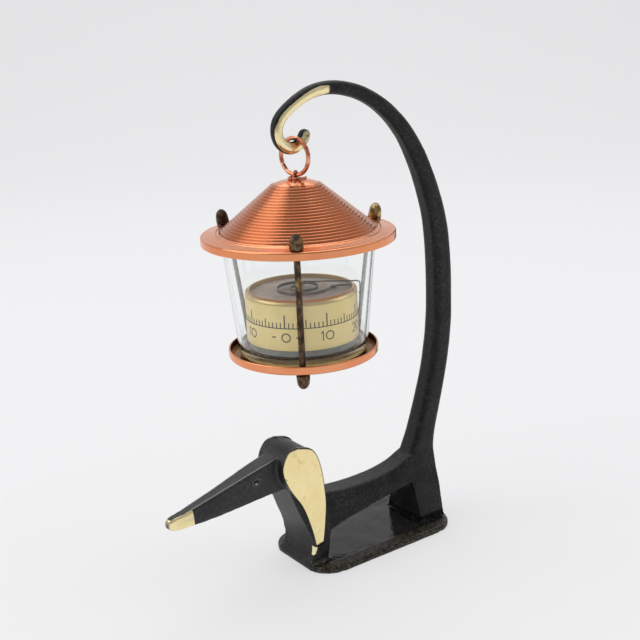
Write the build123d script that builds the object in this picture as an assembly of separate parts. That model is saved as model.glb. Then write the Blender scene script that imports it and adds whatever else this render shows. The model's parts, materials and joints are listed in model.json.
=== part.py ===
from build123d import *
import math
import os

# Hanging lantern thermometer on a dachshund stand. Millimetres, +Z up.
# The origin is the centre of the base's underside. The dog faces -X and its tail rises at +X.

# ---- driving dimensions: stand ----
BASE_LENGTH = 66.3
BASE_WIDTH = 36.0
BASE_CORNER_R = 9.9
BASE_THICK = 2.4
BASE_EDGE_R = 0.7
FLANK_FOOT = 10.6        # half width of the legs where they meet the base
HEAD_TOP_Z = 48.2
HEAD_HALF_WIDTH = 7.0    # half width of the head at its crown
EAR_PROUD = 0.8          # how far an ear stands off the neck
BACK_EDGE_R = 1.5
HOOK_WIRE_R = 2.05       # the tail's end, where the ring hangs

# ---- driving dimensions: lantern ----
AXIS_X = -24.5           # vertical axis that the ring, eye and lantern hang on
FRONT_ANGLE = 234.2      # direction of the front tie rod, degrees from +X
ROOF_R = 34.0
ROOF_EDGE_Z = 124.7
ROOF_RIM_HEIGHT = 2.8
ROOF_APEX_Z = 142.9
SHEET = 0.7              # copper sheet thickness
CONE_FOOT_R = 26.9
CONE_FOOT_Z = 125.7
CONE_TOP_R = 8.3
CONE_TOP_Z = 141.2
CONE_RIBS = 19
RIB_RISE = 0.32
TRAY_R = 26.7
TRAY_BOTTOM_Z = 80.8
TRAY_LIP_Z = 83.9
ROD_R = 1.1
ROD_TOP_R = 31.4         # distance of a rod's centre from the axis at the roof's edge plane
ROD_FOOT_R = 24.2        # and at the tray's underside
NUT_FLATS = 4.3
NUT_HEIGHT = 5.4
GLASS_TOP_R = 27.1
GLASS_FOOT_R = 23.0
GLASS_TOP_Z = 124.5
GLASS_WALL = 1.1
GLASS_FLOOR = 3.2

# ---- driving dimensions: thermometer drum ----
DRUM_R = 19.9
DRUM_BOTTOM_Z = 87.3
DRUM_TOP_Z = 104.9
DRUM_EDGE_R = 1.6
BAND_THICK = 0.25
CASE_WALL = 0.6
DISH_DEPTH = 1.4
ARBOR_R = 0.9
RUNNING_GAP = 0.05
POINTER_ANGLE = FRONT_ANGLE + 85.0
POINTER_Z = 106.6
POINTER_R = 20.9
POINTER_TIP_Z = 93.4
WIRE_R = 0.28
COIL_R = 10.8
COIL_INNER_R = 2.6
COIL_TURNS = 1.75
COIL_HEIGHT = 1.1
COIL_THICK = 0.35
COIL_Z = 104.0

# ---- driving dimensions: suspension ----
HOOK_Z = 153.5           # centre of the tail's wire under the ring
RING_WIRE_R = 0.75
RING_YAW = 13.0          # the ring's plane is turned this much from the YZ plane
RING_FOOT_Z = 144.3      # centre of the ring's wire at its lowest point
HANG_GAP = 0.5
EYE_WIRE_R = 0.42

TRAY_FLOOR_Z = TRAY_BOTTOM_Z + SHEET
GLASS_BOTTOM_Z = TRAY_FLOOR_Z + 0.02
GLASS_FLOOR_Z = GLASS_BOTTOM_Z + GLASS_FLOOR
DISH_Z = DRUM_TOP_Z - DISH_DEPTH
CASE_R = DRUM_R - BAND_THICK
RING_MEAN_R = (HOOK_Z + HOOK_WIRE_R + HANG_GAP + RING_WIRE_R - RING_FOOT_Z) / 2


def side_solid(outline):
    """A face drawn in X and Z, made as wide as the base."""
    return extrude(make_face(Plane.XZ * outline), amount=BASE_WIDTH / 2, both=True)


def tapered_flanks(half_width_at_crown):
    """The plain wedge of the neck and ears: widest at the base, narrowest at the crown."""
    lean = (FLANK_FOOT - HEAD_HALF_WIDTH) / HEAD_TOP_Z
    foot = half_width_at_crown + lean * HEAD_TOP_Z
    above = half_width_at_crown - lean * 4
    corners = [(foot, 0), (above, HEAD_TOP_Z + 4), (-above, HEAD_TOP_Z + 4), (-foot, 0)]
    face = make_face(Plane.YZ * Polyline(*corners, close=True))
    return extrude(face, amount=BASE_LENGTH, both=True)


# ---------------------------------------------------------------- stand

def base_plate():
    plate = extrude(RectangleRounded(BASE_LENGTH, BASE_WIDTH, BASE_CORNER_R), BASE_THICK)
    return fillet(plate.edges().group_by(Axis.Z)[-1], BASE_EDGE_R)


def trunk_section(x, top_z):
    """One cross-section of the back: flanks leaning in from the base to a rounded ridge."""
    right = [(FLANK_FOOT, 1.0), (7.9, 15), (6.2, 21), (4.4, top_z)]
    left = [(-w, z) for w, z in reversed(right)]
    sketch = make_face(Polyline(*right, *left, close=True))
    ridge = sketch.vertices().sort_by(Axis.Y)[-2:]
    return Plane(origin=(x, 0, 0), x_dir=(0, 1, 0), z_dir=(1, 0, 0)) * fillet(ridge, BACK_EDGE_R)


def trunk():
    """Hind legs, back and rump: one bar bridging from the chest to the tail."""
    back = [(-28, 27.0), (-17, 25.0), (-4, 24.1), (8.5, 24.8), (17, 26.8)]
    rump = [(17, 26.8), (21.5, 28.9), (27, 30.2), (32.6, 29.4)]
    bar = loft([trunk_section(x, z) for x, z in back]) + loft([trunk_section(x, z) for x, z in rump])
    belly = Spline((19.6, 18.6), (7.0, 17.0), (-8.0, 15.0), (-22.0, 12.2))
    opening = (
        belly
        + Line(belly @ 1, (-24.4, 12.0))
        + Line((-24.4, 12.0), (-24.4, 0))
        + Line((-24.4, 0), (20.9, 0))
        + Line((20.9, 0), belly @ 0)
    )
    return bar - side_solid(opening)


def chest():
    """Neck, chest and front legs, flaring out at the foot to the base's front edge."""
    front = Spline((-39.2, 34.0), (-36.4, 25.8), (-32.9, 17.2), (-30.6, 10.0), (-30.7, 6.0), (-32.6, 2.6))
    nape = Spline((-25.6, 40.0), (-25.2, 31.0), (-23.8, 24.0))
    outline = (
        front
        + Line(front @ 1, (-32.6, 1.0))
        + Line((-32.6, 1.0), (-24.9, 1.0))
        + Line((-24.9, 1.0), (-22.3, 14.0))
        + Line((-22.3, 14.0), nape @ 1)
        + nape
        + Line(nape @ 0, front @ 0)
    )
    return side_solid(outline) & tapered_flanks(HEAD_HALF_WIDTH)


def ear_curves():
    """The teardrop outline of an ear: a rounded crown tapering to a blunt tip."""
    crown = Spline(
        (-39.3, 34.6),
        (-41.3, 42.0),
        (-38.6, 47.6),
        (-33.8, HEAD_TOP_Z),
        (-28.4, 46.0),
        (-25.4, 39.0),
        (-24.2, 27.0),
    )
    front_edge = Spline(crown @ 0, (-34.2, 25.6), (-31.3, 16.0), (-30.1, 9.2))
    back_edge = Spline(crown @ 1, (-25.1, 18.5), (-26.8, 9.9))
    return crown, front_edge, back_edge


def ears():
    crown, front_edge, back_edge = ear_curves()
    tip = Line(front_edge @ 1, back_edge @ 1)
    slab = side_solid(crown + front_edge + back_edge + tip)
    shell = tapered_flanks(HEAD_HALF_WIDTH + EAR_PROUD) - tapered_flanks(HEAD_HALF_WIDTH - 0.1)
    return slab & shell


def head_crown():
    """The head behind the snout: the top of the ear outline carried across from ear to ear."""
    crown, front_edge, back_edge = ear_curves()
    drop = side_solid(crown + front_edge + back_edge + Line(front_edge @ 1, back_edge @ 1))
    top = Pos(AXIS_X - 10, 0, 44) * Box(30, BASE_WIDTH, 22)
    return drop & top & tapered_flanks(HEAD_HALF_WIDTH)


def snout_section(x, top_half, top_z, foot_half, foot_z, corner_r):
    corners = [(top_half, top_z), (-top_half, top_z), (-foot_half, foot_z), (foot_half, foot_z)]
    sketch = make_face(Polyline(*corners, close=True))
    sketch = fillet(sketch.vertices(), corner_r)
    return Plane(origin=(x, 0, 0), x_dir=(0, 1, 0), z_dir=(1, 0, 0)) * sketch


def snout():
    sections = [
        snout_section(-36.0, 3.6, 46.6, 5.6, 33.0, 0.9),
        snout_section(-45.0, 3.4, 44.3, 5.2, 32.6, 0.8),
        snout_section(-60.0, 2.95, 39.8, 4.4, 31.0, 0.7),
        snout_section(-75.0, 2.0, 35.7, 3.2, 29.8, 0.7),
        snout_section(-81.5, 1.7, 34.4, 2.4, 29.5, 0.9),
    ]
    muzzle = loft(sections)
    nose = loft([
        snout_section(-81.5, 1.7, 34.4, 2.4, 29.5, 0.9),
        snout_section(-83.4, 1.5, 33.9, 2.0, 29.9, 0.9),
        snout_section(-84.6, 0.9, 33.0, 1.1, 30.7, 0.5),
    ])
    return muzzle + nose


def tail_path():
    """Centre line of the tail: up from the rump, over the arch and round into the hook."""
    points = [
        (27.0, 26.0),
        (30.6, 39.0),
        (35.5, 55.5),
        (39.4, 76.0),
        (40.1, 97.0),
        (38.2, 119.5),
        (33.0, 136.6),
        (23.2, 154.8),
        (11.6, 165.6),
        (-2.5, 171.6),
        (-14.5, 172.0),
        (-25.0, 167.6),
        (-31.4, 159.8),
        (-29.4, 155.0),
        (-25.2, HOOK_Z),
        (-21.8, 154.7),
        (-19.5, 158.8),
        (-18.7, 160.4),
    ]
    return Spline(*[(x, 0, z) for x, z in points])


def tail_size(height_share):
    """Width, depth and corner radius of the tail's section at a share of its length."""
    stops = [0.0, 0.06, 0.14, 0.25, 0.40, 0.55, 0.68, 0.80, 0.90, 1.0]
    widths = [12.5, 9.6, 8.7, 8.5, 8.3, 6.9, 5.5, 4.7, 4.4, 4.1]
    depths = [9.0, 8.7, 8.5, 8.5, 8.0, 6.6, 5.3, 4.6, 4.3, 4.1]
    index = max(i for i, stop in enumerate(stops[:-1]) if stop <= height_share)
    share = (height_share - stops[index]) / (stops[index + 1] - stops[index])
    width = widths[index] + share * (widths[index + 1] - widths[index])
    depth = depths[index] + share * (depths[index + 1] - depths[index])
    square_until = 0.55
    round_from = 0.80
    softened = (height_share - square_until) / (round_from - square_until)
    roundness = 0.28 + 0.20 * min(1.0, max(0.0, softened))
    return width, depth, roundness * min(width, depth)


def tail():
    path = tail_path()
    stations = 34
    cap_shares = [0.4, 0.75, 0.94]
    sections = []
    for i in range(stations + 1):
        share = i / stations * 0.985
        width, depth, corner = tail_size(share)
        plane = Plane(origin=path @ share, x_dir=(0, 1, 0), z_dir=path % share)
        sections.append(plane * RectangleRounded(depth, width, corner))
    end_width = tail_size(0.985)[0]
    end_corner = tail_size(0.985)[2]
    for reach in cap_shares:
        shrink = math.sqrt(1 - reach ** 2)
        origin = (path @ 0.985) + (path % 0.985) * (reach * end_width / 2)
        plane = Plane(origin=origin, x_dir=(0, 1, 0), z_dir=path % 0.985)
        side = end_width * shrink
        sections.append(plane * RectangleRounded(side, side, end_corner * shrink))
    return loft(sections)


def dog_stand():
    return base_plate() + trunk() + chest() + head_crown() + snout() + ears() + tail()


# ---------------------------------------------------------------- suspension

def ring_frame():
    """Plane of the ring: its x direction is level along the ring, its normal points away from the tail."""
    yaw = math.radians(RING_YAW)
    level = (math.sin(yaw), -math.cos(yaw), 0)
    normal = (-math.cos(yaw), -math.sin(yaw), 0)
    return Plane(origin=(AXIS_X, 0, RING_FOOT_Z), x_dir=level, z_dir=normal)


def hanging_ring():
    """Split wire ring: the cut lies low on its far side."""
    split = 2.0
    cut_angle = 205.0
    wire = Plane.XZ * Pos(RING_MEAN_R, 0) * Circle(RING_WIRE_R)
    ring = revolve(wire, Axis.Z, 360 - split)
    return ring_frame() * Pos(0, RING_MEAN_R, 0) * Rot(0, 0, cut_angle + split / 2) * ring


def roof_eye():
    """Wire eye: a loop over the ring's wire, a coil lying on the roof, a shank and its peened end."""
    coil_r = 1.9
    coil_z = ROOF_APEX_Z + 0.04 + EYE_WIRE_R - RING_FOOT_Z
    shank_r = 0.9
    head_top = ROOF_APEX_Z - SHEET - 1.4 - RING_FOOT_Z
    loop_r = RING_WIRE_R + 0.1 + EYE_WIRE_R
    foot_angle = 62.0
    wire = revolve(Plane.XZ * Pos(loop_r, 0) * Circle(EYE_WIRE_R), Axis.Z, 180 + 2 * foot_angle)
    loop = Rot(90, 0, 0) * Rot(0, 0, -foot_angle) * wire
    plug = Pos(0, 0, coil_z - 0.1) * Cylinder(coil_r, 0.4)
    shank = Pos(0, 0, (coil_z + head_top) / 2 - 0.1) * Cylinder(shank_r, coil_z - head_top)
    head = Pos(0, 0, head_top - 0.2) * Cylinder(1.4, 0.4)
    eye = Pos(0, 0, coil_z) * Torus(coil_r, EYE_WIRE_R) + plug + shank + head + loop
    return Plane(origin=(AXIS_X, 0, RING_FOOT_Z), x_dir=ring_frame().z_dir, z_dir=(0, 0, 1)) * eye


def turned(profile):
    """A part turned about the lantern's axis from its closed outline in radius and height."""
    return Pos(AXIS_X, 0, 0) * revolve(make_face(Plane.XZ * profile), Axis.Z)


def washer(outer_r, inner_r, bottom_z, top_z):
    outline = [(inner_r, bottom_z), (outer_r, bottom_z), (outer_r, top_z), (inner_r, top_z)]
    return turned(Polyline(*outline, close=True))


def eye_washer():
    top = ROOF_APEX_Z - SHEET - 0.7
    return washer(3.4, 0.9, top - 0.65, top)


# ---------------------------------------------------------------- lantern

def rod_frame(index):
    """Plane at a tie rod's foot on the tray's underside, with its z direction along the rod."""
    angle = math.radians(FRONT_ANGLE + 120 * index)
    outward = Vector(math.cos(angle), math.sin(angle), 0)
    foot = Vector(AXIS_X, 0, TRAY_BOTTOM_Z) + outward * ROD_FOOT_R
    top = Vector(AXIS_X, 0, ROOF_EDGE_Z) + outward * ROD_TOP_R
    return Plane(origin=foot, x_dir=outward.cross(Vector(0, 0, 1)), z_dir=top - foot)


def rod_length():
    return math.hypot(ROOF_EDGE_Z - TRAY_BOTTOM_Z, ROD_TOP_R - ROD_FOOT_R)


def on_each_rod(part):
    return [rod_frame(i) * part for i in range(3)]


def rod_holes():
    """Clearance drills for the three rods, long enough to pass the roof and the tray."""
    drill = Pos(0, 0, rod_length() / 2) * Cylinder(ROD_R + 0.1, rod_length() + 8)
    return on_each_rod(drill)


def tie_rods():
    reach = 2.6
    rod = Pos(0, 0, rod_length() / 2) * Cylinder(ROD_R, rod_length() + 2 * reach)
    return Compound(on_each_rod(rod))


def cap_nut():
    """Domed nut with its seat on z = 0 and a blind hole for the rod."""
    radius = NUT_FLATS / math.sqrt(3)
    body = extrude(RegularPolygon(radius, 6), NUT_HEIGHT)
    taper = make_face(
        Plane.XZ
        * (
            Polyline((0, NUT_HEIGHT), (0, 0), (radius * 0.97, 0), (radius * 0.85, NUT_HEIGHT * 0.62))
            + ThreePointArc((radius * 0.85, NUT_HEIGHT * 0.62), (radius * 0.62, NUT_HEIGHT * 0.9), (0, NUT_HEIGHT))
        )
    )
    nut = body & revolve(taper, Axis.Z)
    hole_depth = 3.4
    return nut - Pos(0, 0, hole_depth / 2) * Cylinder(ROD_R, hole_depth)


def top_cap_nuts():
    seat = 0.55
    nuts = Pos(0, 0, rod_length() + seat) * cap_nut()
    return Compound(on_each_rod(nuts))


def bottom_cap_nuts():
    seat = 0.45
    nuts = Pos(0, 0, -seat) * Rot(180, 0, 0) * cap_nut()
    return Compound(on_each_rod(nuts))


def roof():
    """Spun copper roof: small dome, ribbed cone, two shallow rings on the flange, rolled rim."""
    flange_ring_r = 1.3
    rim_inner_r = ROOF_R - SHEET
    cone_run = CONE_FOOT_R - CONE_TOP_R
    cone_rise = CONE_TOP_Z - CONE_FOOT_Z
    slope = math.hypot(cone_run, cone_rise)
    normal = (cone_rise / slope, cone_run / slope)
    outer = ThreePointArc((1.0, ROOF_APEX_Z), (CONE_TOP_R * 0.6, ROOF_APEX_Z - 0.5), (CONE_TOP_R, CONE_TOP_Z))
    edge = [(CONE_TOP_R, CONE_TOP_Z)]
    for i in range(1, CONE_RIBS + 1):
        share = i / CONE_RIBS
        edge.append((CONE_TOP_R + cone_run * share, CONE_TOP_Z - cone_rise * share))
    for i in range(2):
        drop = (CONE_FOOT_Z - ROOF_EDGE_Z) * (i + 1) * flange_ring_r / (ROOF_R - CONE_FOOT_R)
        edge.append((CONE_FOOT_R + (i + 1) * flange_ring_r, CONE_FOOT_Z - drop))
    for i, (start, end) in enumerate(zip(edge[:-1], edge[1:])):
        on_cone = i < CONE_RIBS
        rise = RIB_RISE if on_cone else RIB_RISE / 2
        lift = normal if on_cone else (0.14, 0.99)
        middle = ((start[0] + end[0]) / 2 + rise * lift[0], (start[1] + end[1]) / 2 + rise * lift[1])
        outer += ThreePointArc(start, middle, end)
    bend = 0.6
    under = ROOF_EDGE_Z - SHEET - 0.2
    profile = (
        outer
        + Line(edge[-1], (ROOF_R - bend, ROOF_EDGE_Z))
        + ThreePointArc(
            (ROOF_R - bend, ROOF_EDGE_Z),
            (ROOF_R - bend * 0.29, ROOF_EDGE_Z - bend * 0.29),
            (ROOF_R, ROOF_EDGE_Z - bend),
        )
        + Polyline(
            (ROOF_R, ROOF_EDGE_Z - bend),
            (ROOF_R, ROOF_EDGE_Z - ROOF_RIM_HEIGHT),
            (rim_inner_r, ROOF_EDGE_Z - ROOF_RIM_HEIGHT),
            (rim_inner_r, under),
            (CONE_FOOT_R - 0.2, CONE_FOOT_Z - SHEET - 0.2),
            (CONE_TOP_R - 0.3, CONE_TOP_Z - SHEET - 0.25),
            (CONE_TOP_R * 0.55, ROOF_APEX_Z - SHEET - 0.5),
            (1.0, ROOF_APEX_Z - SHEET),
            (1.0, ROOF_APEX_Z),
        )
    )
    shell = turned(profile)
    for hole in rod_holes():
        shell -= hole
    return shell


def tray():
    """Shallow copper dish that the glass stands in."""
    corner = 0.9
    outline = (
        Line((0, TRAY_BOTTOM_Z), (TRAY_R - corner, TRAY_BOTTOM_Z))
        + ThreePointArc(
            (TRAY_R - corner, TRAY_BOTTOM_Z),
            (TRAY_R - corner * 0.29, TRAY_BOTTOM_Z + corner * 0.29),
            (TRAY_R, TRAY_BOTTOM_Z + corner),
        )
        + Polyline(
            (TRAY_R, TRAY_BOTTOM_Z + corner),
            (TRAY_R, TRAY_LIP_Z),
            (TRAY_R - SHEET, TRAY_LIP_Z),
            (TRAY_R - SHEET, TRAY_FLOOR_Z),
            (0, TRAY_FLOOR_Z),
            (0, TRAY_BOTTOM_Z),
        )
    )
    dish = turned(outline)
    for hole in rod_holes():
        dish -= hole
    return dish


def glass():
    """Tapered tumbler with a thick foot and a rounded bottom corner."""
    corner = 2.4
    inner_corner = 1.6
    outline = (
        Line((0, GLASS_BOTTOM_Z), (GLASS_FOOT_R - corner, GLASS_BOTTOM_Z))
        + ThreePointArc(
            (GLASS_FOOT_R - corner, GLASS_BOTTOM_Z),
            (GLASS_FOOT_R - corner * 0.29, GLASS_BOTTOM_Z + corner * 0.29),
            (GLASS_FOOT_R, GLASS_BOTTOM_Z + corner),
        )
        + Polyline(
            (GLASS_FOOT_R, GLASS_BOTTOM_Z + corner),
            (GLASS_TOP_R, GLASS_TOP_Z),
            (GLASS_TOP_R - GLASS_WALL, GLASS_TOP_Z),
            (GLASS_FOOT_R - GLASS_WALL, GLASS_FLOOR_Z + inner_corner),
        )
        + ThreePointArc(
            (GLASS_FOOT_R - GLASS_WALL, GLASS_FLOOR_Z + inner_corner),
            (GLASS_FOOT_R - GLASS_WALL - inner_corner * 0.29, GLASS_FLOOR_Z + inner_corner * 0.29),
            (GLASS_FOOT_R - GLASS_WALL - inner_corner, GLASS_FLOOR_Z),
        )
        + Polyline((GLASS_FOOT_R - GLASS_WALL - inner_corner, GLASS_FLOOR_Z), (0, GLASS_FLOOR_Z), (0, GLASS_BOTTOM_Z))
    )
    return turned(outline)


# ---------------------------------------------------------------- thermometer drum

def drum_foot():
    return washer(DRUM_R - 0.8, DRUM_R - 5, GLASS_FLOOR_Z + 0.02, DRUM_BOTTOM_Z)


def drum_case():
    """Cup with a rounded top edge turned in round the dish."""
    inner_r = CASE_R - CASE_WALL
    lip_r = DRUM_R - DRUM_EDGE_R
    shoulder_z = DRUM_TOP_Z - DRUM_EDGE_R
    outline = (
        Polyline((0, DRUM_BOTTOM_Z), (CASE_R, DRUM_BOTTOM_Z), (CASE_R, shoulder_z), (DRUM_R, shoulder_z))
        + ThreePointArc(
            (DRUM_R, shoulder_z),
            (lip_r + DRUM_EDGE_R * 0.707, shoulder_z + DRUM_EDGE_R * 0.707),
            (lip_r, DRUM_TOP_Z),
        )
        + Polyline(
            (lip_r, DRUM_TOP_Z),
            (lip_r, DISH_Z - CASE_WALL),
            (inner_r, DISH_Z - CASE_WALL),
            (inner_r, DRUM_BOTTOM_Z + CASE_WALL),
            (0, DRUM_BOTTOM_Z + CASE_WALL),
            (0, DRUM_BOTTOM_Z),
        )
    )
    return turned(outline)


def scale_band():
    """Thin printed strip round the case, carrying the degree scale."""
    top = DRUM_TOP_Z - DRUM_EDGE_R - 0.1
    return washer(DRUM_R, CASE_R, DRUM_BOTTOM_Z + 0.05, top)


def dial_dish():
    return washer(DRUM_R - DRUM_EDGE_R, 2.0, DISH_Z - CASE_WALL, DISH_Z)


def arbor_bush():
    body = washer(2.0, ARBOR_R + RUNNING_GAP, DISH_Z - 1.2, DISH_Z)
    collar = washer(3.0, ARBOR_R + RUNNING_GAP, DISH_Z - 1.2, DISH_Z - CASE_WALL)
    return body + collar


def footstep_bearing():
    """Blind socket on the case's floor that the arbor stands in."""
    floor = DRUM_BOTTOM_Z + CASE_WALL
    return Pos(AXIS_X, 0, floor + 1.5) * (Cylinder(3.0, 3) - Pos(0, 0, 0.5) * Cylinder(ARBOR_R + RUNNING_GAP, 2))


def arbor():
    """Spindle with a conical tip, standing in the footstep bearing."""
    foot_z = DRUM_BOTTOM_Z + CASE_WALL + 1.05
    tip_z = POINTER_Z + 1.6
    outline = [(0, foot_z), (ARBOR_R, foot_z), (ARBOR_R, POINTER_Z + 0.3), (0.12, tip_z), (0, tip_z)]
    return turned(Polyline(*outline, close=True))


def pointer_collet():
    return washer(1.7, ARBOR_R, POINTER_Z - 0.9, POINTER_Z - 0.3)


def pointer():
    """Wire hand: out from the arbor over the drum's edge, then down across the scale."""
    bend = 1.0
    hub = washer(1.5, ARBOR_R, POINTER_Z - WIRE_R, POINTER_Z + WIRE_R)
    path = (
        Line((1.2, 0, 0), (POINTER_R - bend, 0, 0))
        + ThreePointArc(
            (POINTER_R - bend, 0, 0),
            (POINTER_R - bend * 0.29, 0, -bend * 0.29),
            (POINTER_R, 0, -bend),
        )
        + Line((POINTER_R, 0, -bend), (POINTER_R, 0, POINTER_TIP_Z - POINTER_Z))
    )
    wire = sweep(Plane(origin=(1.2, 0, 0), z_dir=(1, 0, 0)) * Circle(WIRE_R), path)
    bead = Pos(POINTER_R, 0, -4.2) * Sphere(2 * WIRE_R)
    hand = Pos(AXIS_X, 0, POINTER_Z) * Rot(0, 0, POINTER_ANGLE) * (wire + bead)
    return hub + hand


def spiral_point(radius, turns):
    angle = math.radians(POINTER_ANGLE + 12 - 360 * (COIL_TURNS - turns))
    return radius * math.cos(angle), radius * math.sin(angle)


def bimetal_coil():
    """Flat strip wound in a spiral: its inner end at the collet, its outer end at the anchor."""
    steps = 33
    inner = []
    outer = []
    for i in range(steps + 1):
        share = i / steps
        radius = COIL_INNER_R + (COIL_R - COIL_INNER_R) * share
        inner.append(spiral_point(radius - COIL_THICK / 2, COIL_TURNS * share))
        outer.append(spiral_point(radius + COIL_THICK / 2, COIL_TURNS * share))
    inside = Spline(*inner)
    outside = Spline(*outer)
    outline = inside + Line(inside @ 1, outside @ 1) + outside + Line(outside @ 0, inside @ 0)
    return Pos(AXIS_X, 0, COIL_Z) * extrude(make_face(outline), COIL_HEIGHT)


def coil_anchor():
    """Lug on the dish that holds the coil's outer end, with its arm out to the rim."""
    start = COIL_R + COIL_THICK / 2 + 0.02
    end = DRUM_R - DRUM_EDGE_R - 0.3
    arm = Pos((start + end) / 2, 0, COIL_Z + 0.4) * Box(end - start, 0.8, 0.8)
    post = Pos(start + 0.8, 0, (DISH_Z + COIL_Z + 0.8) / 2) * Box(1.6, 1.6, COIL_Z + 0.8 - DISH_Z)
    return Pos(AXIS_X, 0, 0) * Rot(0, 0, POINTER_ANGLE + 12) * (arm + post)


NODES = {
    "dog_stand": dog_stand,
    "hanging_ring": hanging_ring,
    "roof_eye": roof_eye,
    "eye_washer": eye_washer,
    "roof": roof,
    "top_cap_nuts": top_cap_nuts,
    "tie_rods": tie_rods,
    "bottom_cap_nuts": bottom_cap_nuts,
    "tray": tray,
    "glass": glass,
    "drum_foot": drum_foot,
    "drum_case": drum_case,
    "scale_band": scale_band,
    "dial_dish": dial_dish,
    "arbor_bush": arbor_bush,
    "footstep_bearing": footstep_bearing,
    "coil_anchor": coil_anchor,
    "bimetal_coil": bimetal_coil,
    "arbor": arbor,
    "pointer_collet": pointer_collet,
    "pointer": pointer,
}

os.makedirs("parts", exist_ok=True)
for name, build in NODES.items():
    export_step(build(), f"parts/{name}.step")
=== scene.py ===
import json
import math

import bmesh
import bpy
import numpy as np
from mathutils import Matrix, Vector, noise
from mathutils.bvhtree import BVHTree


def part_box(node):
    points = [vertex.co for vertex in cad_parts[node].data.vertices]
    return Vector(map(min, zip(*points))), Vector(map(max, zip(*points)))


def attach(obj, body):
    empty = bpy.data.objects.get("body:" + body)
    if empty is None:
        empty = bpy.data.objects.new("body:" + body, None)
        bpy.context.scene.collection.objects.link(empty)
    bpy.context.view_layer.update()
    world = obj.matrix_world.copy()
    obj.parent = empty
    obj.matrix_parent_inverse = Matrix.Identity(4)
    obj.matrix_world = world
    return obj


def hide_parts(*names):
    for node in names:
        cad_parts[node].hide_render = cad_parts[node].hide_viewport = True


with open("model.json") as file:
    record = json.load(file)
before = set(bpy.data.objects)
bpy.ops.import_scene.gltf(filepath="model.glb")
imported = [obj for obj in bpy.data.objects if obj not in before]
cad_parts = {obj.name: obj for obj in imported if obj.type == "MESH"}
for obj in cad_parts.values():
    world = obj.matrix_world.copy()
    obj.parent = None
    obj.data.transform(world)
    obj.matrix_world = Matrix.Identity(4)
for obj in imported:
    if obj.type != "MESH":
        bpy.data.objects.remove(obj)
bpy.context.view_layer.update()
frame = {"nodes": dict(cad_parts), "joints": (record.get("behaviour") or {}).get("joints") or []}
MM = 0.001
NODES = frame["nodes"]

# ---------- places read from the frame


def mm_box(node):
    """A CAD node's lowest and highest corners in millimetres."""
    low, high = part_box(node)
    return low / MM, high / MM


ROOF_LOW, ROOF_HIGH = mm_box("roof")
TRAY_LOW, TRAY_HIGH = mm_box("tray")
GLASS_LOW, GLASS_HIGH = mm_box("glass")
CASE_LOW, CASE_HIGH = mm_box("drum_case")
BAND_LOW, BAND_HIGH = mm_box("scale_band")
DISH_LOW, DISH_HIGH = mm_box("dial_dish")
FOOT_LOW, FOOT_HIGH = mm_box("drum_foot")
ARBOR_LOW, ARBOR_HIGH = mm_box("arbor")
AXIS_X = (ROOF_LOW.x + ROOF_HIGH.x) / 2
JOINTS = {joint["name"]: joint for joint in frame["joints"]}


# ---------- mesh helpers


def placed(name, data):
    """A new object in the scene, from its mesh, lamp or camera data."""
    made = bpy.data.objects.new(name, data)
    bpy.context.scene.collection.objects.link(made)
    return made


def link(name, mesh, body, dressing, node=None):
    """Makes a mesh into a piece that rides on a body, takes a material and may replace a CAD node."""
    piece = placed(name, mesh)
    mesh.materials.clear()
    mesh.materials.append(dressing)
    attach(piece, body)
    if node:
        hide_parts(node)


def mesh_from(name, verts_mm, faces, smooth=True):
    """A mesh from vertices in millimetres, with its faces turned outward."""
    mesh = bpy.data.meshes.new(name)
    mesh.from_pydata([Vector(v) * MM for v in verts_mm], [], faces)
    mesh.validate()
    tidy = bmesh.new()
    tidy.from_mesh(mesh)
    bmesh.ops.recalc_face_normals(tidy, faces=tidy.faces)
    tidy.to_mesh(mesh)
    tidy.free()
    if smooth:
        mesh.shade_smooth()
    return mesh


def held(profile, margin=0.08, closed=False):
    """Adds a point just inside each end of every long span, so that its shading stays flat."""
    points = []
    spans = list(zip(profile[:-1], profile[1:]))
    if closed:
        spans.append((profile[-1], profile[0]))
    for start, end in spans:
        points.append(start)
        a = Vector(start)
        b = Vector(end)
        length = (b - a).length
        if length > margin * 8:
            points.append(tuple(a.lerp(b, margin / length)))
            points.append(tuple(a.lerp(b, 1 - margin / length)))
    if not closed:
        points.append(profile[-1])
    return points


def quads(first, second):
    """Faces that join two closed rings of vertices, given as lists of indices."""
    count = len(first)
    return [(first[k], first[(k + 1) % count], second[(k + 1) % count], second[k]) for k in range(count)]


def round_angles(steps):
    """Even steps once round a circle, in radians."""
    return [2 * math.pi * i / steps for i in range(steps)]


def lathe_mesh(name, profile, steps=128, closed=False):
    """Turns (radius, z) points about the lantern's axis. A radius of zero becomes a pole."""
    profile = held(profile, closed=closed)
    verts = []
    rings = []
    for radius, z in profile:
        if radius < 1e-6:
            rings.append([len(verts)])
            verts.append((AXIS_X, 0, z))
            continue
        rings.append(range(len(verts), len(verts) + steps))
        for angle in round_angles(steps):
            verts.append((AXIS_X + radius * math.cos(angle), radius * math.sin(angle), z))
    pairs = list(zip(rings[:-1], rings[1:]))
    if closed:
        pairs.append((rings[-1], rings[0]))
    faces = []
    for lower, upper in pairs:
        if len(lower) == 1 and len(upper) == 1:
            continue
        for i in range(steps):
            j = (i + 1) % steps
            if len(lower) == 1:
                faces.append((lower[0], upper[i], upper[j]))
            elif len(upper) == 1:
                faces.append((lower[i], upper[0], lower[j]))
            else:
                faces.append((lower[i], upper[i], upper[j], lower[j]))
    return mesh_from(name, verts, faces)


def arc(centre, radius, start, end, count=12):
    """Points on an arc, angles in degrees."""
    points = []
    for i in range(count + 1):
        angle = math.radians(start + (end - start) * i / count)
        points.append((centre[0] + radius * math.cos(angle), centre[1] + radius * math.sin(angle)))
    return points


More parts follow.
